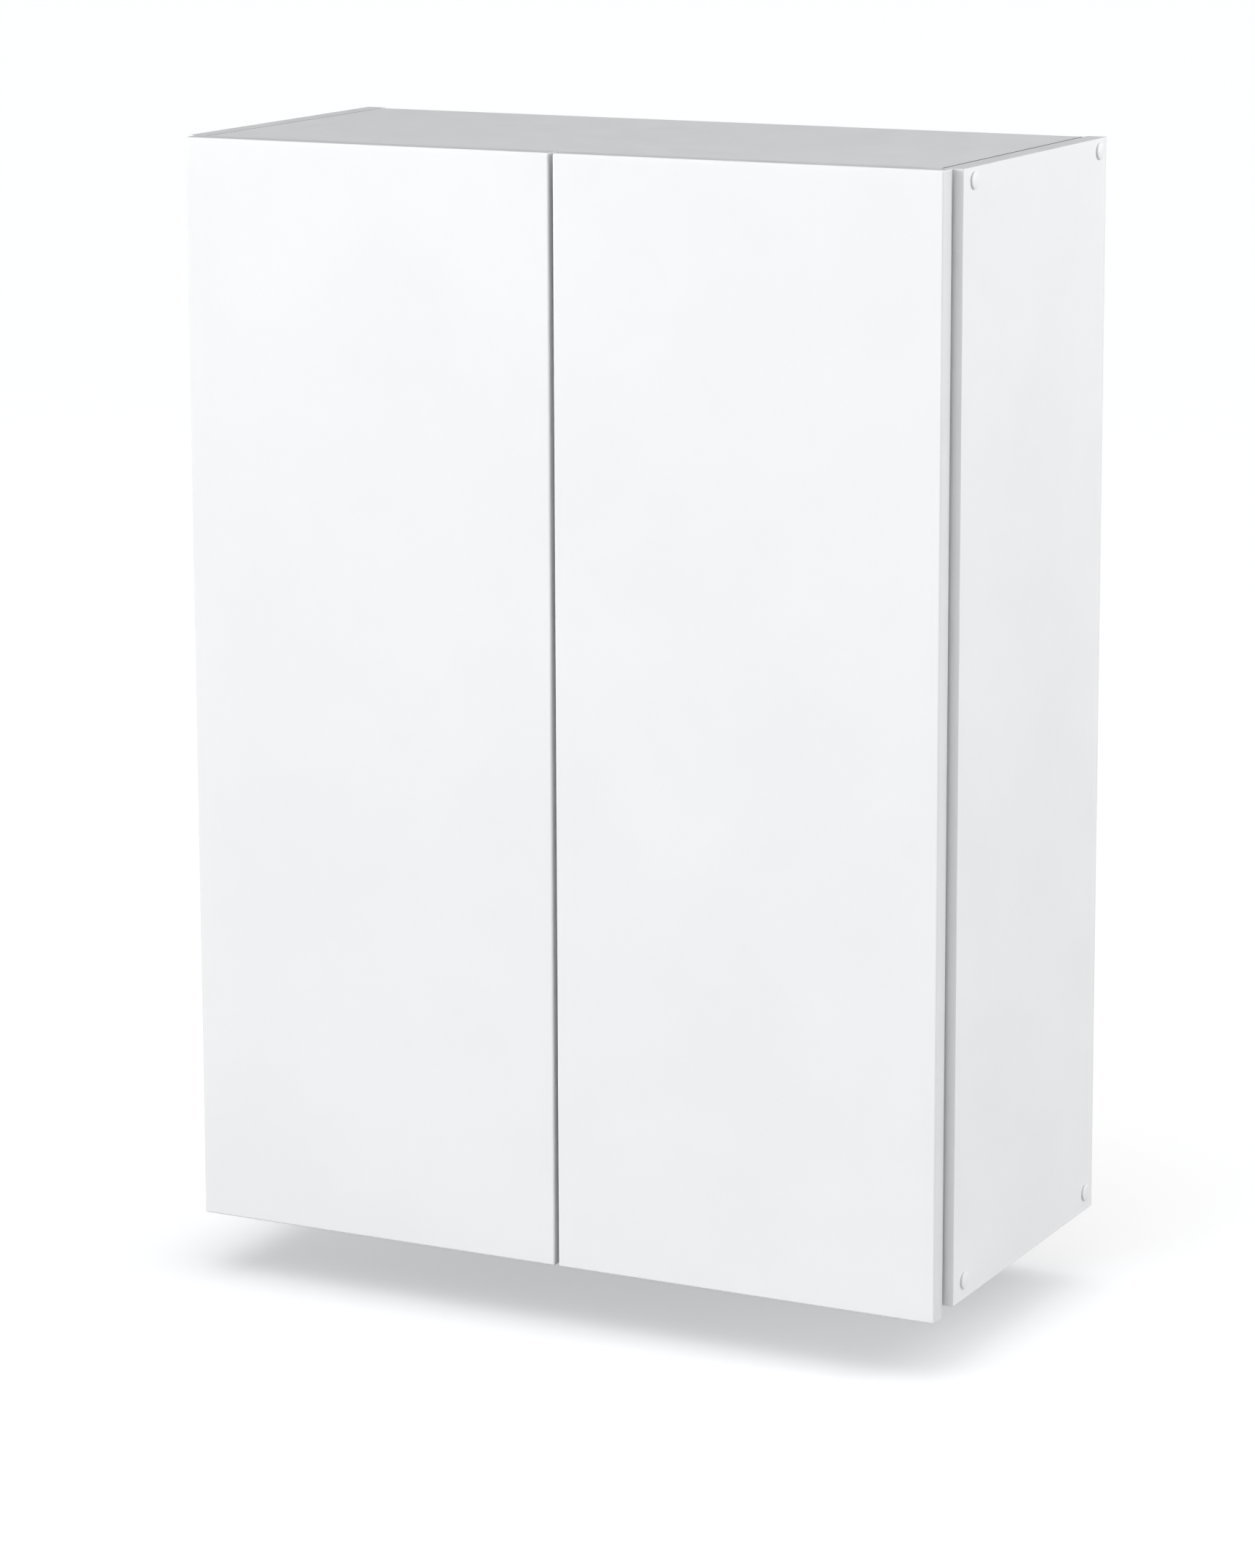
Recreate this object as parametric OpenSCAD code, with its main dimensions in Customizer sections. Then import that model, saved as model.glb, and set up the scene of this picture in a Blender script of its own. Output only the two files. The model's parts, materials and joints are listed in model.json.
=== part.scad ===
// Hanging wall cabinet with two overlay doors on concealed cup hinges.
// Origin: midway between the two hanging holes, on the front face of the back panel.
// +X is to the right, +Y points to the wall, +Z is up. The doors face -Y.

/* [Cabinet body] */
// Width over the two side panels
cabinet_w = 600; // [500:10:800]
// Height of the side panels
side_h = 787; // [650:1:900]
// Depth of the side panels
side_d = 260; // [240:5:320]
// Thickness of the side panels and shelves
board_t = 15; // [15:1:16]
// Thickness of the top and bottom panels
rail_t = 18; // [16:1:19]
// Drop of the top panel below the ends of the sides
top_step = 0; // [0:0.5:2]
// Height of the bottom panel above the ends of the sides
bottom_raise = 5; // [0:1:10]
// Thickness of the hardboard back
back_t = 3; // [3:1:4]
// Distance from the sides' rear edges to the back panel
back_inset = 4; // [2:1:8]

/* [Doors] */
// Thickness of the doors
door_t = 15; // [15:1:16]
// Gap between the two doors
door_gap = 3; // [2:0.5:4]
// Width of side panel left showing beside each door
reveal = 7; // [7:0.5:8]
// Gap between the doors and the cabinet body
door_standoff = 2; // [2:0.5:3]
// Height of the doors above the sides
door_rise = 0.3; // [0:0.1:1]
// Depth of the finger lip, by which the doors hang below the sides
finger_lip = 8.7; // [6:0.1:12]
// Softening of the doors' outer edges
door_bevel = 1.1; // [0.8:0.1:1.2]

/* [Shelves] */
// Spare pin holes above and below each shelf
spare_holes = 2; // [0:1:2]

/* [Hinges] */
// Distance from the doors' ends to the hinges
hinge_end = 100; // [80:5:120]

/* [Wall fixing] */
// Distance between the two hanging holes
hang_spacing = 500; // [400:10:500]
// Diameter of the hanging holes
hang_hole_d = 8; // [6:1:10]
// Height of the top panel's underside above the hanging holes
hang_drop = 40; // [30:1:60]

/* [Hidden] */
$fn = 48;
eps = 0.01;

white = "white";
steel = "silver";
LEFT = -1;
RIGHT = 1;
UPPER = 0;
LOWER = 1;

// Body planes
half_w = cabinet_w / 2;
inner_x = half_w - board_t;
rear_y = back_t + back_inset;
front_y = rear_y - side_d;
top_under_z = hang_drop;
top_z = top_under_z + rail_t + top_step;
bottom_z = top_z - side_h;
floor_z = bottom_z + bottom_raise + rail_t;
side_bevel = 0.5;
band_t = 1;
joint_line_w = 1;
joint_line_deep = 1.2;

// Doors
door_back_y = front_y - door_standoff;
door_front_y = door_back_y - door_t;
door_top_z = top_z + door_rise;
door_bottom_z = bottom_z - finger_lip;
door_inner_x = door_gap / 2;
door_outer_x = half_w - reveal;
overlay = door_outer_x - inner_x;
door_band_t = 2;

// Back panel and its grooves, which stop short of the sides' ends
groove_depth = 6.5;
groove_slack = 0.1;
groove_end_slack = 0.5;
back_edge_x = inner_x + groove_depth - groove_end_slack;
back_low_z = bottom_z + bottom_raise + 1;
back_high_z = top_z - top_step - 1;

// Connectors between the boards
screw_r = 3.5;
screw_len = 50;
screw_head_r = 5;
screw_head_t = 3;
screw_sink = 3.5;
socket_r = 2.2;
socket_deep = 2.5;
screw_front_y = front_y + 18;
screw_rear_y = rear_y - 14.6;
cross_w = 1.1;
cross_deep = 1.2;
dowel_r = 4;
dowel_len = 35;
dowel_in_side = 12;
dowel_y = (screw_front_y + screw_rear_y) / 2;
top_joint_z = top_under_z + rail_t / 2;
bottom_joint_z = floor_z - rail_t / 2;
cap_r = 6;
cap_rim_t = 1.1;
cap_t = 2;
cap_stem = 2.5;
dome_steps = 6;
nail_count = 7;
nail_run = 450;
nail_r = 0.7;
nail_len = 15;
nail_hole_deep = 17;
nail_head_r = 1.9;
nail_head_t = 0.9;
nail_x = [for (i = [0:nail_count - 1]) nail_run * (i / (nail_count - 1) - 0.5)];

// Shelves and their pins
shelves = 2;
pin_r = 2.5;
pin_hole_deep = 10;
pin_pitch = 32;
pin_inset = 37;
pin_rows_y = [front_y + pin_inset, rear_y - pin_inset];
pin_collar_r = 4;
pin_collar_t = 1.2;
tongue_len = 11;
tongue_half = 3.5;
tongue_t = 1.6;
shelf_clear = 1;
shelf_x = inner_x - shelf_clear;
shelf_front_y = front_y + 6;
shelf_rear_y = -3;

// Soft stops between the doors and the body
bumper_r = 4;
bumper_top_r = 2.8;
bumper_rim_t = 0.8;
bumper_t = 1.6;
bumper_inset = 12;

// Hinges. In the hinge frame X runs outward from the side's inner face, Y from the door's front
// face to the wall, and Z is 0 at the hinge's middle.
hinge_z = [door_top_z - hinge_end, door_bottom_z + hinge_end];
pivot = [1.4, 6.4];
elbow = [-20, 6.1];
pin_wire_r = 1;
pin_half = 9.5;
running_fit = 0.05;
eye_r = 1.8;
arm_t = 2.4;
arm_half = 4.5;
web_half = 7;
flange_t = 1.2;
web_y = [22, 66];
web_overlap = 2;
flange_start = 8;
flange_low_x = -5;
cup_r = 17.5;
cup_wall = 0.7;
cup_floor_t = 0.8;
cup_depth = 12;
cup_edge = 3;
cup_x = overlay - cup_edge - cup_r;
cup_bottom_y = door_t - cup_depth;
cup_floor_y = cup_bottom_y + cup_floor_t;
rim_t = 1;
wing_x = cup_x - 9.5;
wing_w = 12;
wing_screw_z = 22.5;
wing_r = 5;
cup_screw_r = 1.75;
cup_screw_deep = 11;
cup_head_r = 3.5;
cup_head_t = 2;
pocket_low_x = -27;
pocket_half = 7.5;
spring_x = [-25, -6];
spring_half = 3.5;
spring_t = 0.5;
plate_y = door_t + door_standoff + pin_inset;
plate_t = 2.5;
plate_w = 12;
plate_end = 7;
plate_corner_r = 5;
plate_screw_z = 16;
plate_head_r = 4.5;
plate_head_t = 2.5;
boss_half = 5.4;
boss_top_x = -12;
boss_y = [28, 64];
fixing_y = 46;
fixing_r = 2;
fixing_slack = 0.2;
fixing_deep = 7;
fixing_head_r = 4;
fixing_head_t = 2;
adjust_y = 33;
adjust_r = 1.9;
slot_w = 0.8;
slot_deep = 0.6;

// Hanging brackets
bracket_w = 40;
bracket_t = 2;
bracket_leg = 40;
bracket_drop = 62;
bracket_corner_r = 3;
bracket_bend = 4;
bracket_screw_y = -26;
bracket_screw_dx = 12;
bracket_screw_r = 2;
bracket_screw_len = 12;
bracket_head_r = 4;
bracket_head_t = 2.2;

// ---- Shared shapes ----

// Box between two corners
module span(low, high) translate(low) cube(high - low);

// Box between two corners with all its edges chamfered by c
module soft_span(low, high, c) {
    size = high - low;
    translate(low) intersection() {
        linear_extrude(size[2]) chamfered_square(size[0], size[1], c);
        translate([0, size[1], 0]) rotate([90, 0, 0])
            linear_extrude(size[1]) chamfered_square(size[0], size[2], c);
        rotate([90, 0, 90]) linear_extrude(size[0]) chamfered_square(size[1], size[2], c);
    }
}

module chamfered_square(w, h, c) polygon([
    [c, 0], [w - c, 0], [w, c], [w, h - c], [w - c, h], [c, h], [0, h - c], [0, c]
]);

// Flat outline w by h, centred, with round corners
module rounded_square(w, h, r) {
    square([w - 2 * r, h], center = true);
    square([w, h - 2 * r], center = true);
    for (sx = [-1, 1], sy = [-1, 1]) translate([sx * (w / 2 - r), sy * (h / 2 - r)]) circle(r);
}

// Straight bar of width w between two points, with round ends
module bar(a, b, w) {
    run = b - a;
    translate(a) rotate(atan2(run[1], run[0])) translate([0, -w / 2]) square([norm(run), w]);
    for (p = [a, b]) translate(p) circle(w / 2);
}

module rod_x(x0, x1, y, z, r) translate([x0, y, z]) rotate([0, 90, 0]) cylinder(h = x1 - x0, r = r);
module rod_y(y0, y1, x, z, r) translate([x, y0, z]) rotate([-90, 0, 0]) cylinder(h = y1 - y0, r = r);
module rod_z(z0, z1, x, y, r) translate([x, y, z0]) cylinder(h = z1 - z0, r = r);

// Cuts the four-armed recess of a screw head of radius r, from Z = 0 downwards
module cross_recess(r) for (turn = [0, 90]) rotate(turn)
    span([-0.6 * r, -cross_w / 2, -cross_deep], [0.6 * r, cross_w / 2, 1]);

// Draws the right-hand child, or its mirror image for the left
module hand(side) mirror([side == LEFT ? 1 : 0, 0, 0]) children();

// Places a child drawn in the hinge frame
module at_hinge(side, level) hand(side) translate([inner_x, door_front_y, hinge_z[level]]) children();

// ---- Panels of the body ----

// Height of the pins that carry shelf i, counted from the bottom
function shelf_pin_z(i) = floor_z + i * (top_under_z - floor_z) / (shelves + 1) - board_t;

module joint_rods_x(z, r, x0, x1) {
    for (y = [screw_front_y, screw_rear_y]) rod_x(x0, x1, y, z, r);
}

module side_outline() soft_span([inner_x, front_y, bottom_z], [half_w, rear_y, top_z], side_bevel);

module side_core_box() span(
    [inner_x - 1, front_y + band_t, bottom_z + band_t],
    [half_w + 1, rear_y + 1, top_z - band_t]
);

// The right side panel, drilled for the screws, dowels, shelf pins and hinge plates
module side_board() difference() {
    intersection() {
        side_outline();
        side_core_box();
    }
    for (z = [top_joint_z, bottom_joint_z]) {
        joint_rods_x(z, screw_r, inner_x - 1, half_w + 1);
        joint_rods_x(z, screw_head_r, half_w - screw_sink, half_w + 1);
        rod_x(inner_x - 1, inner_x + dowel_in_side, dowel_y, z, dowel_r);
    }
    for (i = [1:shelves], k = [-spare_holes:spare_holes], y = pin_rows_y)
        rod_x(inner_x - 1, inner_x + pin_hole_deep, y, shelf_pin_z(i) + k * pin_pitch, pin_r);
    for (z = hinge_z, s = [-1, 1])
        rod_x(inner_x - 1, inner_x + pin_hole_deep, front_y + pin_inset, z + s * plate_screw_z, pin_r);
    span(
        [inner_x - 1, -groove_slack, back_low_z - groove_end_slack],
        [inner_x + groove_depth, back_t + groove_slack, back_high_z + groove_end_slack]
    );
}

module side_panel(side) color(white) hand(side) side_board();

module side_edge_bands(side) color(white) hand(side) difference() {
    side_outline();
    side_core_box();
}

// A board between the sides, joined to them with screws and a dowel at each end
module rail_board(low_z) difference() {
    span([-inner_x, front_y + band_t, low_z], [inner_x, 0, low_z + rail_t]);
    for (side = [LEFT, RIGHT]) hand(side) {
        joint_rods_x(low_z + rail_t / 2, screw_r, half_w - screw_len, inner_x + 1);
        rod_x(inner_x + dowel_in_side - dowel_len, inner_x + 1, dowel_y, low_z + rail_t / 2, dowel_r);
    }
}

module rail_band(low_z) span([-inner_x, front_y, low_z], [inner_x, front_y + band_t, low_z + rail_t]);

// Eased upper corners of the top panel's ends, which leave a fine dark line beside each side panel
module joint_lines() for (side = [LEFT, RIGHT]) hand(side) span(
    [inner_x - joint_line_w, front_y - 1, top_under_z + rail_t - joint_line_deep],
    [inner_x + 1, 1, top_under_z + rail_t + 1]
);

module top_panel() color(white) difference() {
    rail_board(top_under_z);
    joint_lines();
    for (side = [LEFT, RIGHT]) bracket_screw_places(side)
        rod_z(top_under_z - 1, top_under_z + bracket_screw_len + 1, 0, 0, bracket_screw_r);
    for (x = nail_x) rod_y(-nail_hole_deep, 1, x, top_joint_z, nail_r);
}

module bottom_panel() color(white) difference() {
    rail_board(floor_z - rail_t);
    for (x = nail_x) rod_y(-nail_hole_deep, 1, x, bottom_joint_z, nail_r);
}

module top_panel_edge_band() color(white) difference() {
    rail_band(top_under_z);
    joint_lines();
}

module bottom_panel_edge_band() color(white) rail_band(floor_z - rail_t);

module back_panel() color("tan") difference() {
    span([-back_edge_x, 0, back_low_z], [back_edge_x, back_t, back_high_z]);
    for (side = [LEFT, RIGHT]) rod_y(-1, back_t + 1, side * hang_spacing / 2, 0, hang_hole_d / 2 + 1);
    for (x = nail_x, z = [top_joint_z, bottom_joint_z]) rod_y(-1, back_t + 1, x, z, nail_r);
}

// ---- Shelves ----

module shelf(i) color(white) span(
    [-shelf_x, shelf_front_y + band_t, shelf_pin_z(i) + pin_r],
    [shelf_x, shelf_rear_y, shelf_pin_z(i) + pin_r + board_t]
);

module shelf_edge_band(i) color(white) span(
    [-shelf_x, shelf_front_y, shelf_pin_z(i) + pin_r],
    [shelf_x, shelf_front_y + band_t, shelf_pin_z(i) + pin_r + board_t]
);

// One pin: a peg in the side, a collar against it and a tongue under the shelf
module shelf_pin() {
    rod_x(inner_x - 1, inner_x + pin_hole_deep - 1, 0, 0, pin_r);
    difference() {
        rod_x(inner_x - pin_collar_t, inner_x, 0, 0, pin_collar_r);
        span([inner_x - 2, -5, pin_r], [inner_x + 1, 5, 5]);
    }
    span([inner_x - tongue_len, -tongue_half, pin_r - tongue_t], [inner_x - 1, tongue_half, pin_r]);
}

module shelf_pins() color(steel)
    for (side = [LEFT, RIGHT], i = [1:shelves], y = pin_rows_y)
        hand(side) translate([0, y, shelf_pin_z(i)]) shelf_pin();

// ---- Connectors ----

module assembly_screws() color(steel)
    for (side = [LEFT, RIGHT], y = [screw_front_y, screw_rear_y], z = [top_joint_z, bottom_joint_z])
        hand(side) difference() {
            union() {
                rod_x(half_w - screw_len, half_w - screw_sink + 1, y, z, screw_r);
                rod_x(half_w - screw_sink, half_w - screw_sink + screw_head_t, y, z, screw_head_r);
            }
            rod_x(half_w - screw_sink + screw_head_t - socket_deep, half_w, y, z, socket_r);
        }

// One domed cap with a stem that plugs into the screw's socket
module screw_cap() {
    dome_h = cap_t - cap_rim_t;
    dome_r = (pow(cap_r, 2) + pow(dome_h, 2)) / (2 * dome_h);
    dome = [for (k = [0:dome_steps]) let (r = cap_r * (1 - k / dome_steps))
        [r, cap_t - dome_r + sqrt(pow(dome_r, 2) - pow(r, 2))]];
    translate([half_w, 0, 0]) rotate([0, 90, 0]) rotate_extrude()
        polygon(concat([[0, -cap_stem], [socket_r, -cap_stem], [socket_r, 0], [cap_r, 0]], dome));
}

module screw_caps(side) color(white) hand(side)
    for (y = [screw_front_y, screw_rear_y], z = [top_joint_z, bottom_joint_z])
        translate([0, y, z]) screw_cap();

module wooden_dowels() color("burlywood")
    for (side = [LEFT, RIGHT], z = [top_joint_z, bottom_joint_z]) hand(side)
        rod_x(inner_x + dowel_in_side - dowel_len, inner_x + dowel_in_side, dowel_y, z, dowel_r);

module back_panel_nails() color(steel)
    for (x = nail_x, z = [top_joint_z, bottom_joint_z]) {
        rod_y(-nail_len, back_t + eps, x, z, nail_r);
        rod_y(back_t, back_t + nail_head_t, x, z, nail_head_r);
    }

// ---- Hanging brackets ----

// Steel angle under the top panel. The wall screw goes through its upright leg and the back panel.
module hanging_bracket(side) color(steel) hand(side) translate([hang_spacing / 2, 0, 0]) difference() {
    union() {
        translate([0, 0, top_under_z - bracket_drop / 2]) rotate([90, 0, 0])
            linear_extrude(bracket_t) rounded_square(bracket_w, bracket_drop, bracket_corner_r);
        translate([0, -bracket_leg / 2, top_under_z - bracket_t])
            linear_extrude(bracket_t) rounded_square(bracket_w, bracket_leg, bracket_corner_r);
        span([-bracket_w / 2, -bracket_bend, top_under_z - bracket_t], [bracket_w / 2, 0, top_under_z]);
        span([-bracket_w / 2, -bracket_t, top_under_z - bracket_bend], [bracket_w / 2, 0, top_under_z]);
    }
    rod_y(-bracket_t - 1, 1, 0, 0, hang_hole_d / 2);
    for (s = [-1, 1]) translate([s * bracket_screw_dx, bracket_screw_y, 0])
        rod_z(top_under_z - bracket_t - 1, top_under_z + 1, 0, 0, bracket_screw_r);
}

module bracket_screw_places(side) for (s = [-1, 1])
    translate([side * hang_spacing / 2 + s * bracket_screw_dx, bracket_screw_y, 0]) children();

module hanging_bracket_screw() difference() {
    union() {
        rod_z(-bracket_t - eps, bracket_screw_len, 0, 0, bracket_screw_r);
        rod_z(-bracket_t - bracket_head_t, -bracket_t, 0, 0, bracket_head_r);
    }
    translate([0, 0, -bracket_t - bracket_head_t]) rotate([180, 0, 0]) cross_recess(bracket_head_r);
}

module hanging_bracket_screws() color(steel)
    for (side = [LEFT, RIGHT]) bracket_screw_places(side)
        translate([0, 0, top_under_z]) hanging_bracket_screw();

// ---- Doors ----

module door_outline() soft_span(
    [door_inner_x, door_front_y, door_bottom_z], [door_outer_x, door_back_y, door_top_z], door_bevel
);

module door_core_box() span(
    [door_inner_x + door_band_t, door_front_y - 1, door_bottom_z + door_band_t],
    [door_outer_x - door_band_t, door_back_y + 1, door_top_z - door_band_t]
);

module door(side) color(white) difference() {
    hand(side) intersection() {
        door_outline();
        door_core_box();
    }
    for (level = [UPPER, LOWER]) at_hinge(side, level) {
        rod_y(cup_bottom_y, door_t + 1, cup_x, 0, cup_r);
        for (s = [-1, 1])
            rod_y(door_t - cup_screw_deep, door_t + 1, wing_x, s * wing_screw_z, cup_screw_r);
    }
}

module door_edge_band(side) color(white) hand(side) difference() {
    door_outline();
    door_core_box();
}

// Soft buttons that cushion the closed door against the top and bottom panels
module door_bumpers(side) color("gainsboro") hand(side)
    for (z = [top_joint_z, bottom_joint_z]) translate([door_inner_x + bumper_inset, door_back_y, z])
        rotate([-90, 0, 0]) rotate_extrude() polygon([
            [0, 0], [bumper_r, 0], [bumper_r, bumper_rim_t], [bumper_top_r, bumper_t], [0, bumper_t]
        ]);

// ---- Hinges ----

// Cup sunk in the door, with a rim and two screw wings, open towards the cabinet
module hinge_cup(side, level) color(steel) at_hinge(side, level) difference() {
    union() {
        rod_y(cup_bottom_y, door_t + rim_t, cup_x, 0, cup_r);
        translate([wing_x, door_t + rim_t, 0]) rotate([90, 0, 0])
            linear_extrude(rim_t) rounded_square(wing_w, 2 * (wing_screw_z + wing_r), wing_r);
    }
    intersection() {
        rod_y(cup_floor_y, door_t + rim_t + 1, cup_x, 0, cup_r - cup_wall);
        span([pocket_low_x, 0, -pocket_half], [overlay, door_t + rim_t + 2, pocket_half]);
    }
    rod_z(-pin_half, pin_half, pivot[0], pivot[1], pin_wire_r);
    for (s = [-1, 1])
        rod_y(door_t - 1, door_t + rim_t + 1, wing_x, s * wing_screw_z, cup_screw_r + running_fit);
}

module hinge_pins(side) color(steel) for (level = [UPPER, LOWER]) at_hinge(side, level)
    rod_z(-pin_half, pin_half, pivot[0], pivot[1], pin_wire_r);

module closing_springs(side) color("dimgray") for (level = [UPPER, LOWER]) at_hinge(side, level)
    span([spring_x[0], cup_floor_y, -spring_half], [spring_x[1], cup_floor_y + spring_t, spring_half]);

// Gooseneck arm: an eye round the pin, a cranked tongue inside the cup and a channel over the plate
module hinge_arm(side, level) color(steel) at_hinge(side, level) difference() {
    union() {
        translate([0, 0, -arm_half]) linear_extrude(2 * arm_half) {
            translate(pivot) circle(eye_r);
            bar(pivot, elbow, arm_t);
            bar(elbow, [elbow[0], web_y[0] + web_overlap], arm_t);
        }
        span([elbow[0] - arm_t / 2, web_y[0], -web_half], [elbow[0] + arm_t / 2, web_y[1], web_half]);
        for (s = [-1, 1]) translate([0, 0, s * (web_half - flange_t / 2)]) span(
            [elbow[0], web_y[0] + flange_start, -flange_t / 2], [flange_low_x, web_y[1], flange_t / 2]
        );
    }
    rod_z(-arm_half - 1, arm_half + 1, pivot[0], pivot[1], pin_wire_r + running_fit);
    rod_x(elbow[0] - arm_t, elbow[0] + arm_t, fixing_y, 0, fixing_r + fixing_slack);
    rod_x(elbow[0] - arm_t, elbow[0] + arm_t, adjust_y, 0, adjust_r);
}

// Plate on the side panel that carries the arm
module hinge_plate(side, level) color(steel) at_hinge(side, level) difference() {
    union() {
        translate([-plate_t, plate_y, 0]) rotate([90, 0, 90]) linear_extrude(plate_t)
            rounded_square(plate_w, 2 * (plate_screw_z + plate_end), plate_corner_r);
        span([boss_top_x, boss_y[0], -boss_half], [0, boss_y[1], boss_half]);
    }
    for (s = [-1, 1]) rod_x(-plate_t - 1, 1, plate_y, s * plate_screw_z, pin_r);
    rod_x(boss_top_x - 1, boss_top_x + fixing_deep + 1, fixing_y, 0, fixing_r);
}

// Screw in the hinge frame, with a flat head at Z = 0 on top of a shank that runs down to Z = -deep
module hinge_screw(shank_r, deep, head_r, head_t) difference() {
    union() {
        rod_z(-deep, eps, 0, 0, shank_r);
        rod_z(0, head_t, 0, 0, head_r);
    }
    translate([0, 0, head_t]) cross_recess(head_r);
}

module hinge_cup_screws(side) color(steel)
    for (level = [UPPER, LOWER], s = [-1, 1]) at_hinge(side, level)
        translate([wing_x, door_t + rim_t, s * wing_screw_z]) rotate([-90, 0, 0])
            hinge_screw(cup_screw_r, cup_screw_deep + rim_t, cup_head_r, cup_head_t);

module each_hinge() for (side = [LEFT, RIGHT], level = [UPPER, LOWER]) at_hinge(side, level) children();

module hinge_plate_screws() color(steel) each_hinge() for (s = [-1, 1])
    translate([-plate_t, plate_y, s * plate_screw_z]) rotate([0, -90, 0])
        hinge_screw(pin_r, plate_t + pin_hole_deep, plate_head_r, plate_head_t);

module hinge_arm_screws() color(steel) each_hinge()
    translate([elbow[0] - arm_t / 2, fixing_y, 0]) rotate([0, -90, 0]) hinge_screw(
        fixing_r, boss_top_x + fixing_deep - elbow[0] + arm_t / 2, fixing_head_r, fixing_head_t
    );

// Slotted grub screws that push the arm off the plate
module hinge_adjusting_screws() color(steel) each_hinge() difference() {
    rod_x(elbow[0] - arm_t / 2 - 1, boss_top_x, adjust_y, 0, adjust_r);
    translate([elbow[0] - arm_t / 2 - 1, adjust_y, 0])
        span([-1, -adjust_r - 1, -slot_w / 2], [slot_deep, adjust_r + 1, slot_w / 2]);
}

// ---- Assembly ----

side_panel(LEFT);  // left_side_panel
side_panel(RIGHT);  // right_side_panel
top_panel();
bottom_panel();
back_panel();
side_edge_bands(LEFT);  // left_side_edge_bands
side_edge_bands(RIGHT);  // right_side_edge_bands
top_panel_edge_band();
bottom_panel_edge_band();
shelf(2);  // upper_shelf
shelf(1);  // lower_shelf
shelf_edge_band(2);  // upper_shelf_edge_band
shelf_edge_band(1);  // lower_shelf_edge_band
shelf_pins();
assembly_screws();
screw_caps(LEFT);  // left_screw_caps
screw_caps(RIGHT);  // right_screw_caps
wooden_dowels();
back_panel_nails();
hanging_bracket(LEFT);  // left_hanging_bracket
hanging_bracket(RIGHT);  // right_hanging_bracket
hanging_bracket_screws();
door(LEFT);  // left_door
door(RIGHT);  // right_door
door_edge_band(LEFT);  // left_door_edge_band
door_edge_band(RIGHT);  // right_door_edge_band
door_bumpers(LEFT);  // left_door_bumpers
door_bumpers(RIGHT);  // right_door_bumpers
hinge_cup(LEFT, UPPER);  // left_upper_hinge_cup
hinge_cup(LEFT, LOWER);  // left_lower_hinge_cup
hinge_cup(RIGHT, UPPER);  // right_upper_hinge_cup
hinge_cup(RIGHT, LOWER);  // right_lower_hinge_cup
hinge_arm(LEFT, UPPER);  // left_upper_hinge_arm
hinge_arm(LEFT, LOWER);  // left_lower_hinge_arm
hinge_arm(RIGHT, UPPER);  // right_upper_hinge_arm
hinge_arm(RIGHT, LOWER);  // right_lower_hinge_arm
hinge_plate(LEFT, UPPER);  // left_upper_hinge_plate
hinge_plate(LEFT, LOWER);  // left_lower_hinge_plate
hinge_plate(RIGHT, UPPER);  // right_upper_hinge_plate
hinge_plate(RIGHT, LOWER);  // right_lower_hinge_plate
hinge_pins(LEFT);  // left_hinge_pins
hinge_pins(RIGHT);  // right_hinge_pins
closing_springs(LEFT);  // left_closing_springs
closing_springs(RIGHT);  // right_closing_springs
hinge_cup_screws(LEFT);  // left_hinge_cup_screws
hinge_cup_screws(RIGHT);  // right_hinge_cup_screws
hinge_plate_screws();
hinge_arm_screws();
hinge_adjusting_screws();
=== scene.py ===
import json
import math

import bmesh
import bpy
from mathutils import Matrix, Vector


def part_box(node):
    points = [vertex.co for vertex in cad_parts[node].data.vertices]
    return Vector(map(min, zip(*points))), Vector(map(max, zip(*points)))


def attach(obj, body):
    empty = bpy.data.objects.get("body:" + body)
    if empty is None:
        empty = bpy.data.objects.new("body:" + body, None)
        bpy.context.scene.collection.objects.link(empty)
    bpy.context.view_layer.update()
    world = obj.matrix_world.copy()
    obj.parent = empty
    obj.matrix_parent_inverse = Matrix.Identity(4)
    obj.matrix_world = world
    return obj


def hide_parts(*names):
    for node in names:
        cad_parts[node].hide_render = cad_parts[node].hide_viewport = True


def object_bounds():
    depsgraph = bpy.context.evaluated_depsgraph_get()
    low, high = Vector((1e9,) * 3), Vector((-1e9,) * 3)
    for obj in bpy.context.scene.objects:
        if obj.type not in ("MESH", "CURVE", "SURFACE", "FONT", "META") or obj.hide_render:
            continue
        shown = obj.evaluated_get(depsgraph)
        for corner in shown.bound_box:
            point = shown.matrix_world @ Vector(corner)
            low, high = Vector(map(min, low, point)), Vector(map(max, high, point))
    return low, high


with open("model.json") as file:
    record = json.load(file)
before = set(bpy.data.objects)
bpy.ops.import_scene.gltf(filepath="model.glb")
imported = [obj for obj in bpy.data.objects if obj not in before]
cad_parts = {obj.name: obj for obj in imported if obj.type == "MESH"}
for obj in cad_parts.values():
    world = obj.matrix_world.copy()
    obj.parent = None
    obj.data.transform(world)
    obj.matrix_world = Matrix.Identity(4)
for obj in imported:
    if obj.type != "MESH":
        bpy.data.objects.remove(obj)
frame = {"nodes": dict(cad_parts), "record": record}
cad_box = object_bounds()

MM = 0.001
UP = Vector((0.0, 0.0, 1.0))
scene = bpy.context.scene
nodes = frame["nodes"]
slot_of = {part["node"]: part["material_slot"] for part in frame["record"]["subparts"]}


# ---- Node helpers ----

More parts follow.
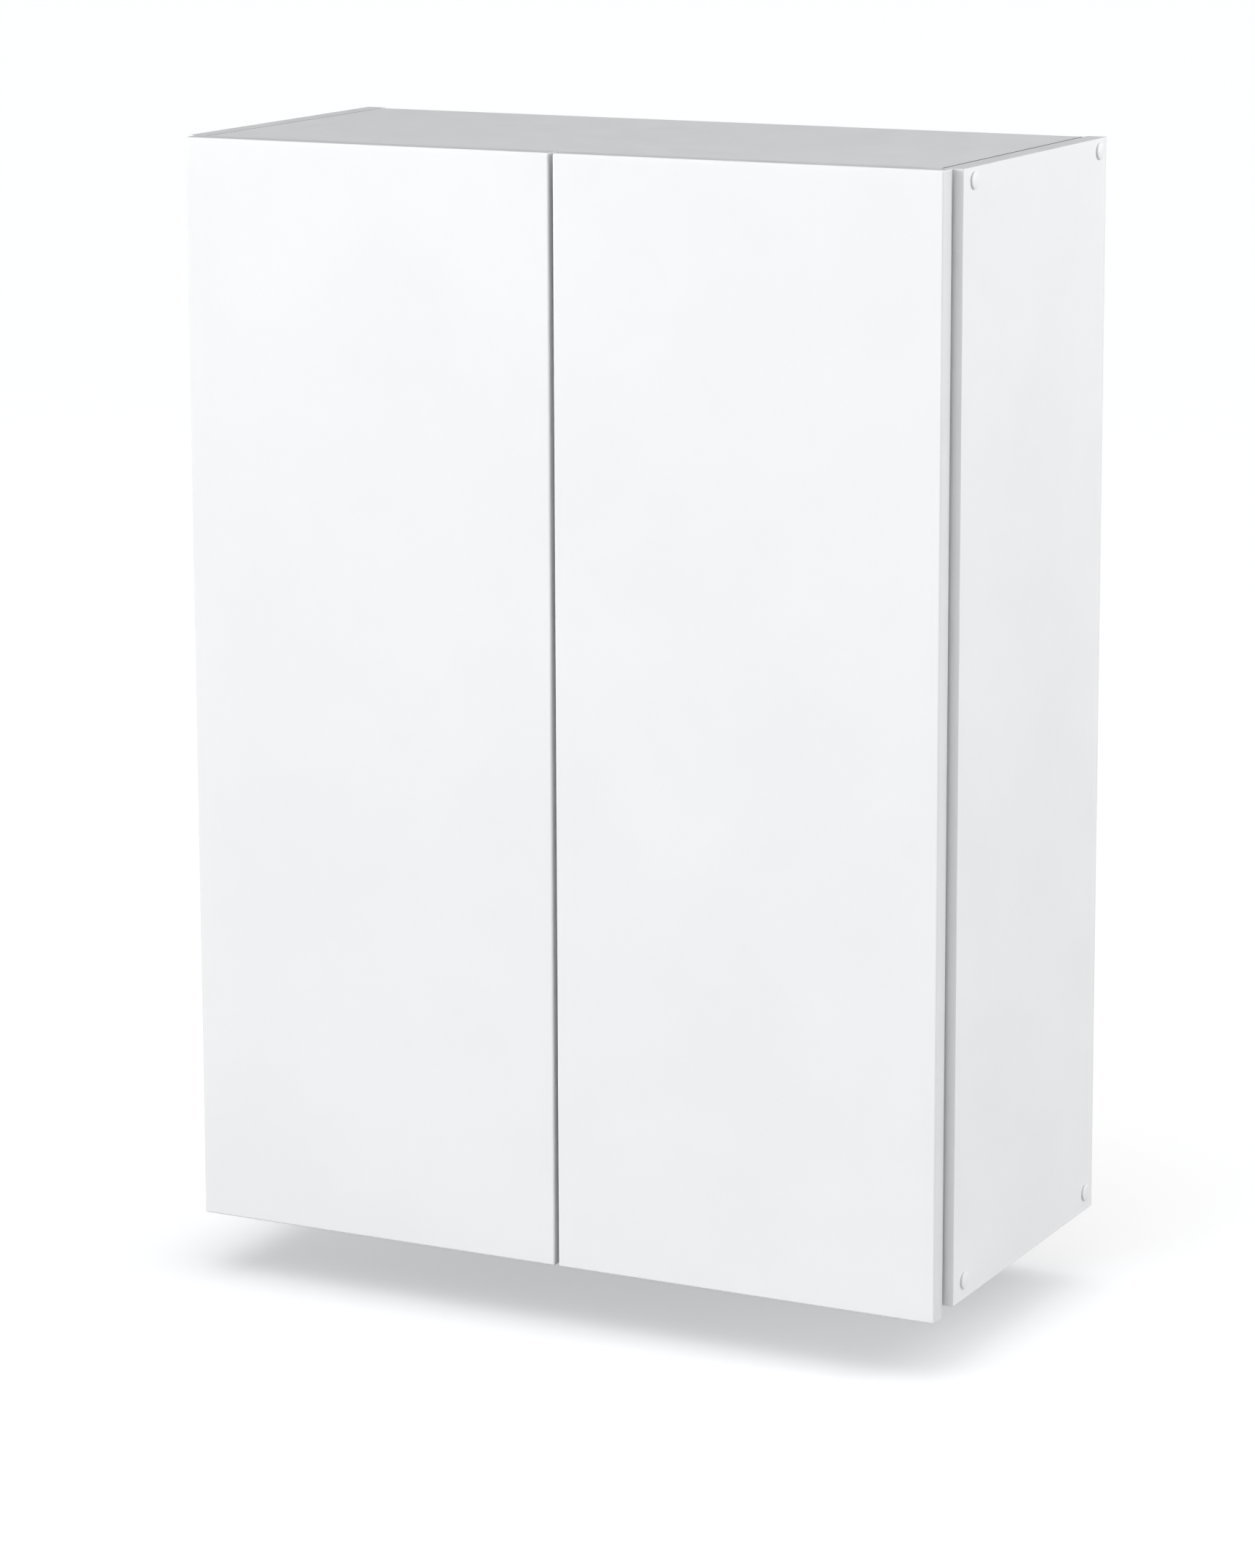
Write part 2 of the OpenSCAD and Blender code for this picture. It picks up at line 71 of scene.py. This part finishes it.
class Graph:
    """The node tree of a material or world, with short calls for the nodes used here."""

    def __init__(self, owner):
        owner.use_nodes = True
        self.owner = owner
        self.nodes = owner.node_tree.nodes
        self.links = owner.node_tree.links

    def link(self, value, socket):
        """Join a node's output to a socket, or give the socket a fixed value."""
        if isinstance(value, bpy.types.NodeSocket):
            self.links.new(value, socket)
        else:
            socket.default_value = value

    def math(self, operation, *values, clamp=False):
        node = self.nodes.new("ShaderNodeMath")
        node.operation = operation
        node.use_clamp = clamp
        for value, socket in zip(values, node.inputs):
            self.link(value, socket)
        return node.outputs[0]

    def split(self, vector):
        node = self.nodes.new("ShaderNodeSeparateXYZ")
        self.link(vector, node.inputs[0])
        return node.outputs

    def camera_choice(self, elsewhere, seen):
        """One shader for the rays that leave the camera, and another for all other rays."""
        node = self.nodes.new("ShaderNodeMixShader")
        self.link(self.nodes.new("ShaderNodeLightPath").outputs["Is Camera Ray"], node.inputs[0])
        self.link(elsewhere, node.inputs[1])
        self.link(seen, node.inputs[2])
        return node.outputs[0]


class Surface(Graph):
    """A material's node tree. Its textures lie in the object's own coordinates, in metres."""

    def __init__(self, name):
        super().__init__(bpy.data.materials.new(name))
        self.shader = self.nodes["Principled BSDF"]
        self.place = self.nodes.new("ShaderNodeTexCoord").outputs["Object"]

    def set(self, name, value):
        self.link((*value, 1.0) if isinstance(value, tuple) else value, self.shader.inputs[name])

    def stretched(self, stretch):
        node = self.nodes.new("ShaderNodeVectorMath")
        node.operation = "MULTIPLY"
        self.link(self.place, node.inputs[0])
        self.link(stretch, node.inputs[1])
        return node.outputs[0]

    def noise(self, scale, detail=2.0, roughness=0.5, stretch=(1, 1, 1), distortion=0.0):
        node = self.nodes.new("ShaderNodeTexNoise")
        self.link(self.stretched(stretch), node.inputs["Vector"])
        self.link(scale, node.inputs["Scale"])
        self.link(detail, node.inputs["Detail"])
        self.link(roughness, node.inputs["Roughness"])
        self.link(distortion, node.inputs["Distortion"])
        return node.outputs["Fac"]

    def cells(self, scale, stretch=(1, 1, 1), output="Color"):
        node = self.nodes.new("ShaderNodeTexVoronoi")
        self.link(self.stretched(stretch), node.inputs["Vector"])
        self.link(scale, node.inputs["Scale"])
        return node.outputs[output]

    def axis(self, index):
        return self.split(self.place)[index]

    def to_range(self, value, from_min, from_max, to_min=0.0, to_max=1.0):
        node = self.nodes.new("ShaderNodeMapRange")
        for v, socket in zip((value, from_min, from_max, to_min, to_max), node.inputs):
            self.link(v, socket)
        return node.outputs[0]

    def mix(self, factor, a, b):
        node = self.nodes.new("ShaderNodeMix")
        node.data_type = "RGBA"
        self.link(factor, node.inputs[0])
        for colour, socket in ((a, node.inputs[6]), (b, node.inputs[7])):
            self.link(colour if isinstance(colour, bpy.types.NodeSocket) else (*colour, 1.0), socket)
        return node.outputs[2]

    def bump(self, height, distance):
        node = self.nodes.new("ShaderNodeBump")
        self.link(height, node.inputs["Height"])
        self.link(distance, node.inputs["Distance"])
        return node.outputs[0]


# ---- Materials ----

WHITE_FACE = (0.845, 0.853, 0.862)
WHITE_SHADE = (0.825, 0.834, 0.845)
# The greyer tone of the doors' narrow sides, and the painted shade, near black, inside the joints beside
# the top panel
DOOR_EDGE = (0.745, 0.752, 0.762)
SEAM_PAINTED_SHADE = (0.03, 0.03, 0.032)

# The coating of a board, from where it starts to thin out to where only the core shows
SKIN = (0.32 * MM, 0.38 * MM)
LACQUER = (0.15 * MM, 0.2 * MM)
# Where a door's face turns into its narrow side
DOOR_TURN = (0.5 * MM, 1.2 * MM)
# The painted shade in the joint beside the top panel: its width on the panel and on the side, and its
# depth
SEAM_ON_TOP = 1.02 * MM
SEAM_ON_SIDE = 0.25 * MM
SEAM_DEEP = 1.3 * MM


def skin_finish(look):
    """Satin melamine: a faint cloud of tone, fine orange peel and a roughness that varies a little."""
    cloud = look.noise(scale=9.0, detail=3.0)
    colour = look.mix(look.to_range(cloud, 0.35, 0.65), WHITE_FACE, WHITE_SHADE)
    smear = look.noise(scale=38.0, detail=4.0, roughness=0.6, distortion=0.4)
    rough = look.to_range(smear, 0.3, 0.7, 0.36, 0.47)
    peel = look.noise(scale=900.0)
    return colour, rough, peel


def chip_finish(look):
    """Raw chipboard: pale wood chips of mixed tone, with dark gaps between them."""
    scale = 420.0
    flat = (1, 1, 0.5)
    split = look.nodes.new("ShaderNodeSeparateColor")
    look.link(look.cells(scale, flat), split.inputs[0])
    tone = look.mix(split.outputs[0], (0.34, 0.23, 0.13), (0.62, 0.47, 0.3))
    gaps = look.to_range(look.cells(scale, flat, "Distance"), 0.25, 0.6, 0.0, 0.55)
    colour = look.mix(gaps, tone, (0.16, 0.1, 0.06))
    grit = split.outputs[1]
    return colour, grit


def top_joint_painted_shade(look):
    """1 within the fine joint between the top panel and a side panel, where shade is painted."""
    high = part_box("top_panel")[1]
    out = look.math("ABSOLUTE", look.axis(0))
    beyond = look.math("GREATER_THAN", out, high.x - SEAM_ON_TOP)
    before = look.math("LESS_THAN", out, high.x + SEAM_ON_SIDE)
    above = look.math("GREATER_THAN", look.axis(2), high.z - SEAM_DEEP)
    ahead = look.math("LESS_THAN", look.axis(1), high.y)
    across = look.math("MULTIPLY", beyond, before)
    return look.math("MULTIPLY", across, look.math("MULTIPLY", above, ahead))


def depth_below_faces(look, node, axis):
    """How far below the nearer of a node's two faces a point lies."""
    low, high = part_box(node)
    place = look.axis(axis)
    from_low = look.math("SUBTRACT", place, low[axis])
    from_high = look.math("SUBTRACT", high[axis], place)
    return look.math("MINIMUM", from_low, from_high)


def between_door_faces(look):
    """1 on the narrow sides of a door and 0 on its faces. Both doors lie in the same plane."""
    return look.to_range(depth_below_faces(look, "left_door", 1), *DOOR_TURN)


def board_material(name, node, axis):
    """White laminate on the two faces of a board and bare chipboard everywhere deeper than the skin."""
    look = Surface(name)
    inside = look.to_range(depth_below_faces(look, node, axis), *SKIN)
    skin, rough, peel = skin_finish(look)
    chip, grit = chip_finish(look)
    colour = look.mix(inside, skin, chip)
    # Painted shade, near black, in the joints at the panel's ends beside the side panels
    if node == "top_panel":
        colour = look.mix(top_joint_painted_shade(look), colour, SEAM_PAINTED_SHADE)
    look.set("Base Color", colour)
    look.set("Roughness", look.math("MAXIMUM", rough, look.math("MULTIPLY", inside, 0.9)))
    fine = look.math("MULTIPLY", peel, 0.12)
    coarse = look.math("MULTIPLY", grit, inside)
    look.set("Normal", look.bump(look.math("ADD", fine, coarse), 0.15 * MM))
    return look.owner


def band_material(name, where=None, tone=None):
    """White plastic edge band, a little glossier than the faces, with another tone or painted shade where
    asked.
    """
    look = Surface(name)
    colour, _, peel = skin_finish(look)
    if where:
        colour = look.mix(where(look), colour, tone)
    look.set("Base Color", colour)
    look.set("Roughness", look.to_range(look.noise(scale=60.0, detail=3.0), 0.3, 0.7, 0.3, 0.42))
    look.set("Normal", look.bump(peel, 0.012 * MM))
    return look.owner


def hardboard_material(name, node):
    """Hardboard: white lacquer towards the inside, brown felted fibre behind and on the cut edges."""
    look = Surface(name)
    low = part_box(node)[0]
    behind = look.to_range(look.math("SUBTRACT", look.axis(1), low.y), *LACQUER)
    skin, rough, peel = skin_finish(look)
    fibre = look.noise(scale=700.0, detail=5.0, roughness=0.7)
    blotch = look.noise(scale=14.0, detail=4.0, roughness=0.6)
    brown = look.mix(fibre, (0.2, 0.115, 0.06), (0.42, 0.28, 0.17))
    brown = look.mix(look.to_range(blotch, 0.35, 0.7, 0.0, 0.5), brown, (0.3, 0.18, 0.1))
    look.set("Base Color", look.mix(behind, skin, brown))
    look.set("Roughness", look.math("MAXIMUM", rough, look.math("MULTIPLY", behind, 0.75)))
    weave = look.math("MULTIPLY", look.cells(600.0, output="Distance"), behind)
    fine = look.math("MULTIPLY", peel, 0.1)
    look.set("Normal", look.bump(look.math("ADD", fine, weave), 0.12 * MM))
    return look.owner


def metal_material(name, colour, tint, rough, brush):
    """Plated steel: fine brushing along one axis, a patchy plating tone and varied roughness."""
    look = Surface(name)
    patch = look.noise(scale=120.0, detail=4.0, roughness=0.6)
    look.set("Base Color", look.mix(look.to_range(patch, 0.35, 0.65), colour, tint))
    look.set("Metallic", 1.0)
    lines = look.noise(scale=1600.0, detail=3.0, roughness=0.6, stretch=brush)
    look.set("Roughness", look.to_range(lines, 0.3, 0.7, rough - 0.06, rough + 0.1))
    look.set("Normal", look.bump(lines, 0.01 * MM))
    return look.owner


def wood_material(name):
    """Beech, with its grain and short dark flecks along X."""
    look = Surface(name)
    grain = look.noise(scale=500.0, detail=6.0, roughness=0.65, stretch=(0.06, 1, 1), distortion=0.6)
    fleck = look.to_range(look.cells(900.0, (0.12, 1, 1), "Distance"), 0.05, 0.2, 0.5, 0.0)
    colour = look.mix(grain, (0.62, 0.42, 0.24), (0.78, 0.6, 0.4))
    look.set("Base Color", look.mix(fleck, colour, (0.42, 0.25, 0.13)))
    look.set("Roughness", look.to_range(grain, 0.3, 0.7, 0.6, 0.75))
    look.set("Normal", look.bump(grain, 0.05 * MM))
    return look.owner


def cap_material(name):
    """Moulded white plastic with a fine spark-eroded texture."""
    look = Surface(name)
    cloud = look.noise(scale=180.0)
    look.set("Base Color", look.mix(cloud, (0.82, 0.83, 0.84), (0.86, 0.868, 0.877)))
    look.set("Roughness", look.to_range(cloud, 0.3, 0.7, 0.36, 0.46))
    look.set("Normal", look.bump(look.noise(scale=3000.0), 0.01 * MM))
    return look.owner


def bumper_material(name):
    """Clear soft polyurethane, slightly clouded."""
    look = Surface(name)
    cloud = look.noise(scale=400.0, detail=3.0)
    look.set("Base Color", look.mix(cloud, (0.78, 0.79, 0.79), (0.9, 0.91, 0.9)))
    look.set("Roughness", look.to_range(cloud, 0.3, 0.7, 0.12, 0.22))
    look.set("Transmission Weight", 0.5)
    look.set("IOR", 1.49)
    return look.owner


BY_SLOT = {
    "edge_band": band_material("edge_band"),
    "cap_plastic": cap_material("cap_plastic"),
    "zinc_steel": metal_material(
        "zinc_steel", (0.62, 0.63, 0.65), (0.7, 0.71, 0.72), rough=0.3, brush=(0.2, 1, 1)
    ),
    "nickel_steel": metal_material(
        "nickel_steel", (0.66, 0.65, 0.62), (0.73, 0.72, 0.69), rough=0.24, brush=(1, 0.15, 1)
    ),
    "spring_steel": metal_material(
        "spring_steel", (0.2, 0.2, 0.21), (0.27, 0.27, 0.29), rough=0.32, brush=(1, 0.15, 1)
    ),
    "dowel_wood": wood_material("beech"),
    "bumper": bumper_material("bumper"),
}
# These bands carry the painted shade of the joints beside the top panel
SIDE_BANDS = band_material("side_edge_band", top_joint_painted_shade, SEAM_PAINTED_SHADE)
TOP_BAND = band_material("top_edge_band", top_joint_painted_shade, SEAM_PAINTED_SHADE)
DOOR_BANDS = band_material("door_edge_band", between_door_faces, DOOR_EDGE)

# The axis that runs through the thickness of each coated board
BOARD_AXIS = {
    "left_side_panel": 0,
    "right_side_panel": 0,
    "left_door": 1,
    "right_door": 1,
    "top_panel": 2,
    "bottom_panel": 2,
    "upper_shelf": 2,
    "lower_shelf": 2,
}


def paint(piece, material):
    piece.data.materials.clear()
    piece.data.materials.append(material)


for name, piece in nodes.items():
    if name in BOARD_AXIS:
        paint(piece, board_material(name + "_laminate", name, BOARD_AXIS[name]))
    elif name == "top_panel_edge_band":
        paint(piece, TOP_BAND)
    elif slot_of[name] == "hardboard":
        paint(piece, hardboard_material("hardboard", name))
    else:
        paint(piece, BY_SLOT[slot_of[name]])


# ---- Pieces built here, in place of plainer CAD ones ----

QUARTER = math.pi / 2
SHARP = math.radians(35.0)
WELD = 0.001 * MM

DOOR_ROUND = 1.4 * MM
DOOR_BAND = 2.0 * MM
SIDE_ROUND = 0.5 * MM
SIDE_BAND = 1.0 * MM
CAP_R = 6.0 * MM
CAP_RIM = 0.66
CAP_EDGE = 0.25 * MM
CAP_UNDERCUT = 0.4 * MM
BUMPER_R = 4.0 * MM
BUMPER_RIM = 0.5
BUMPER_EDGE = 0.3 * MM
BUMPER_UNDERCUT = 0.1 * MM


def add_piece(name, bm, material, node, body):
    """Turn bm into a smooth-shaded piece that stands for a CAD node and rides on its body."""
    bmesh.ops.remove_doubles(bm, verts=bm.verts, dist=WELD)
    bmesh.ops.recalc_face_normals(bm, faces=bm.faces)
    for face in bm.faces:
        face.smooth = True
    for edge in bm.edges:
        edge.smooth = edge.calc_face_angle(0.0) < SHARP
    mesh = bpy.data.meshes.new(name)
    bm.to_mesh(mesh)
    bm.free()
    piece = bpy.data.objects.new(name, mesh)
    scene.collection.objects.link(piece)
    paint(piece, material)
    weighted = piece.modifiers.new("weighted_normals", "WEIGHTED_NORMAL")
    weighted.keep_sharp = True
    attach(piece, body)
    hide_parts(node)


def rim(low, high, thick, radius, width, steps=6):
    """A band, width deep, round the edges of a board whose thickness runs along axis thick."""
    u, v = (i for i in range(3) if i != thick)
    through = high[thick] - low[thick]
    turns = [QUARTER * k / steps for k in range(steps + 1)]
    arc = [(radius * (1 - math.sin(a)), radius * (1 - math.cos(a))) for a in turns]
    back_arc = [(inset, through - depth) for inset, depth in reversed(arc)]
    profile = [(width, 0.0)] + arc + back_arc + [(width, through)]
    corners = ((1, 1), (-1, 1), (-1, -1), (1, -1))
    bm = bmesh.new()
    loops = []
    for inset, depth in profile:
        round_r = max(radius - inset, 0.0)
        loop = []
        for quarter, (side_u, side_v) in enumerate(corners):
            corner_u = (high if side_u > 0 else low)[u] - side_u * (inset + round_r)
            corner_v = (high if side_v > 0 else low)[v] - side_v * (inset + round_r)
            for turn in turns:
                angle = turn + quarter * QUARTER
                point = [0.0, 0.0, 0.0]
                point[thick] = low[thick] + depth
                point[u] = corner_u + round_r * math.cos(angle)
                point[v] = corner_v + round_r * math.sin(angle)
                loop.append(bm.verts.new(point))
        loops.append(loop)
    for first, second in zip(loops, loops[1:] + loops[:1]):
        for i in range(len(first)):
            j = (i + 1) % len(first)
            bm.faces.new((first[i], first[j], second[j], second[i]))
    return bm


def lathe(bm, outline, place, axis, steps=72):
    """Turn an outline of (radius, height) pairs about axis, starting at place."""
    turned = UP.rotation_difference(Vector(axis)).to_matrix()
    rings = []
    for radius, height in outline:
        ring = []
        for k in range(steps if radius > 0 else 1):
            angle = 4 * QUARTER * k / steps
            spot = Vector((radius * math.cos(angle), radius * math.sin(angle), height))
            ring.append(bm.verts.new(Vector(place) + turned @ spot))
        rings.append(ring)
    for first, second in zip(rings, rings[1:]):
        for k in range(steps):
            corners = [first[k % len(first)], first[(k + 1) % len(first)]]
            corners += [second[(k + 1) % len(second)], second[k % len(second)]]
            bm.faces.new(list(dict.fromkeys(corners)))


def dome(radius, rim_height, crown, edge, undercut, steps=10):
    """Outline of a button: an undercut foot, an upright rim, a rounded edge and a crown."""
    foot = radius - undercut
    foot_height = 0.7 * undercut
    edge_turn = 0.8
    flatness = 0.9
    outline = [(0.0, 0.0), (foot, 0.0), (foot, foot_height), (radius, undercut)]
    for k in range(steps + 1):
        angle = QUARTER * k / steps * edge_turn
        outline.append((radius - edge * (1 - math.cos(angle)), rim_height - edge * (1 - math.sin(angle))))
    start_r, start_h = outline[-1]
    for k in range(1, steps):
        angle = QUARTER * k / steps
        rise = (crown - start_h) * math.sin(angle) ** flatness
        outline.append((start_r * math.cos(angle), start_h + rise))
    return outline + [(0.0, crown)]


def door_band(side):
    node = side + "_door_edge_band"
    bm = rim(*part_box(node), 1, DOOR_ROUND, DOOR_BAND)
    add_piece(side + "_door_rounded_band", bm, DOOR_BANDS, node, side + "_door_leaf")


def side_bands(side):
    """The bands on a side panel's front and ends: a whole rim, cut off at the bare rear edge."""
    node = side + "_side_edge_bands"
    low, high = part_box(node)
    beyond = Vector((0.0, 10 * SIDE_BAND, 0.0))
    bm = rim(low, high + beyond, 0, SIDE_ROUND, SIDE_BAND)
    parts = bm.verts[:] + bm.edges[:] + bm.faces[:]
    bmesh.ops.bisect_plane(bm, geom=parts, plane_co=high, plane_no=(0, 1, 0), clear_outer=True)
    bmesh.ops.holes_fill(bm, edges=[edge for edge in bm.edges if edge.is_boundary])
    add_piece(side + "_side_rounded_bands", bm, SIDE_BANDS, node, "cabinet_body")


def screw_caps(side):
    node = side + "_screw_caps"
    low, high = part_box(node)
    panel_low, panel_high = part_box(side + "_side_panel")
    face_x = panel_high.x if side == "right" else panel_low.x
    crown = high.x - face_x if side == "right" else face_x - low.x
    outward = (1, 0, 0) if side == "right" else (-1, 0, 0)
    outline = dome(CAP_R, CAP_RIM * crown, crown, CAP_EDGE, CAP_UNDERCUT)
    bm = bmesh.new()
    for y in (low.y + CAP_R, high.y - CAP_R):
        for z in (low.z + CAP_R, high.z - CAP_R):
            lathe(bm, outline, (face_x, y, z), outward)
    add_piece(side + "_moulded_caps", bm, BY_SLOT["cap_plastic"], node, "cabinet_body")


def door_bumpers(side):
    node = side + "_door_bumpers"
    low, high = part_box(node)
    crown = high.y - low.y
    outline = dome(BUMPER_R, BUMPER_RIM * crown, crown, BUMPER_EDGE, BUMPER_UNDERCUT)
    bm = bmesh.new()
    for z in (low.z + BUMPER_R, high.z - BUMPER_R):
        lathe(bm, outline, ((low.x + high.x) / 2, low.y, z), (0, 1, 0))
    add_piece(side + "_soft_bumpers", bm, BY_SLOT["bumper"], node, side + "_door_leaf")


for side in ("left", "right"):
    door_band(side)
    side_bands(side)
    screw_caps(side)
    door_bumpers(side)


# ---- Camera, placed by a fit to the cabinet's edges ----

CAMERA_SPOT = (1.591, -3.320, 0.382)
AZIMUTH = math.radians(26.68)
PITCH = math.radians(10.60)
ROLL = math.radians(-0.18)

camera_data = bpy.data.cameras.new("camera")
camera_data.lens = 115.2
camera_data.sensor_width = 36.0
camera_data.shift_y = -0.11
camera_data.clip_end = 50.0
camera = bpy.data.objects.new("camera", camera_data)
scene.collection.objects.link(camera)
across = Vector((math.cos(AZIMUTH), math.sin(AZIMUTH), 0.0))
level = Vector((-math.sin(AZIMUTH), math.cos(AZIMUTH), 0.0))
ahead = math.cos(PITCH) * level - math.sin(PITCH) * UP
upward = across.cross(ahead)
right = math.cos(ROLL) * across + math.sin(ROLL) * upward
above = math.cos(ROLL) * upward - math.sin(ROLL) * across
axes = Matrix((right, above, -ahead)).transposed().to_4x4()
camera.matrix_world = Matrix.Translation(CAMERA_SPOT) @ axes
scene.camera = camera


# ---- Floor: bright and even to the camera, though it takes the shadow, and plain grey to other rays ----

FLOOR_HALF = 30.0
FLOOR_DROP = 0.043
FLOOR_TONE = (0.975, 0.985, 1.0)
FLOOR_GLOW = (0.99, 0.995, 1.0)
FLOOR_GLOW_STRENGTH = 0.285
FLOOR_BOUNCE = (0.45, 0.45, 0.45, 1.0)

bm = bmesh.new()
bmesh.ops.create_grid(bm, x_segments=8, y_segments=8, size=FLOOR_HALF)
floor_mesh = bpy.data.meshes.new("floor")
bm.to_mesh(floor_mesh)
bm.free()
floor = bpy.data.objects.new("floor", floor_mesh)
floor.location = (0.0, 0.0, cad_box[0].z - FLOOR_DROP)
scene.collection.objects.link(floor)
look = Surface("floor")
look.set("Base Color", FLOOR_TONE)
look.set("Roughness", 0.9)
look.set("Specular IOR Level", 0.0)
look.set("Emission Color", FLOOR_GLOW)
look.set("Emission Strength", FLOOR_GLOW_STRENGTH)
bounce = look.nodes.new("ShaderNodeBsdfDiffuse")
look.link(FLOOR_BOUNCE, bounce.inputs["Color"])
shown = look.camera_choice(bounce.outputs[0], look.shader.outputs[0])
look.link(shown, look.nodes["Material Output"].inputs["Surface"])
paint(floor, look.owner)


# ---- Light: a broad sky overhead, low glows to the left in front and to the right, two softboxes ----

# Only the camera sees the backdrop, and only the other rays see the sky
BACKDROP = 1.02
SKY_BASE = 0.2
SKY_TOP = 1.13
SKY_TOP_FROM = 0.8
SKY_TOP_SOFT = 0.06
GLOW_HEIGHT = 0.08
GLOW_SPREAD = 0.15
GLOW_FOCUS = 4.0
# Where the sky glows, seen from the cabinet, and how strongly
SKY_GLOWS = (((-0.643, -0.766, 0.0), 11.8), ((0.940, 0.342, 0.0), 8.1))
# Each softbox's place and power
SOFTBOXES = {"front_softbox": ((-1.3, -1.7, 1.1), 4.5), "right_softbox": ((1.9, 0.3, 1.0), 9.0)}
SOFTBOX_SIZE = 1.0


def background(graph, strength):
    node = graph.nodes.new("ShaderNodeBackground")
    graph.link((1.0, 1.0, 1.0, 1.0), node.inputs["Color"])
    graph.link(strength, node.inputs["Strength"])
    return node.outputs[0]


def softbox(name, spot, power):
    """A square light that faces the middle of the cabinet."""
    centre = (cad_box[0] + cad_box[1]) / 2
    data = bpy.data.lights.new(name, "AREA")
    data.shape = "SQUARE"
    data.size = SOFTBOX_SIZE
    data.energy = power
    light = bpy.data.objects.new(name, data)
    light.location = spot
    light.rotation_mode = "QUATERNION"
    light.rotation_quaternion = (centre - Vector(spot)).to_track_quat("-Z", "Y")
    scene.collection.objects.link(light)


scene.world = bpy.data.worlds.new("studio")
world = Graph(scene.world)
direction = world.nodes.new("ShaderNodeTexCoord").outputs["Generated"]
height = world.split(direction)[2]
off = world.math("DIVIDE", world.math("SUBTRACT", height, GLOW_HEIGHT), GLOW_SPREAD)
band = world.math("EXPONENT", world.math("MULTIPLY", world.math("MULTIPLY", off, off), -1.0))
overhead = world.math("DIVIDE", world.math("SUBTRACT", height, SKY_TOP_FROM), SKY_TOP_SOFT, clamp=True)
sky = world.math("MULTIPLY_ADD", overhead, SKY_TOP, SKY_BASE)
for aim, strength in SKY_GLOWS:
    facing = world.nodes.new("ShaderNodeVectorMath")
    facing.operation = "DOT_PRODUCT"
    world.link(direction, facing.inputs[0])
    world.link(aim, facing.inputs[1])
    lobe = world.math("POWER", world.math("MAXIMUM", facing.outputs["Value"], 0.0), GLOW_FOCUS)
    sky = world.math("MULTIPLY_ADD", world.math("MULTIPLY", lobe, band), strength, sky)
seen = world.camera_choice(background(world, sky), background(world, BACKDROP))
world.link(seen, world.nodes["World Output"].inputs["Surface"])

for name, (spot, power) in SOFTBOXES.items():
    softbox(name, spot, power)

scene.view_settings.view_transform = "Standard"
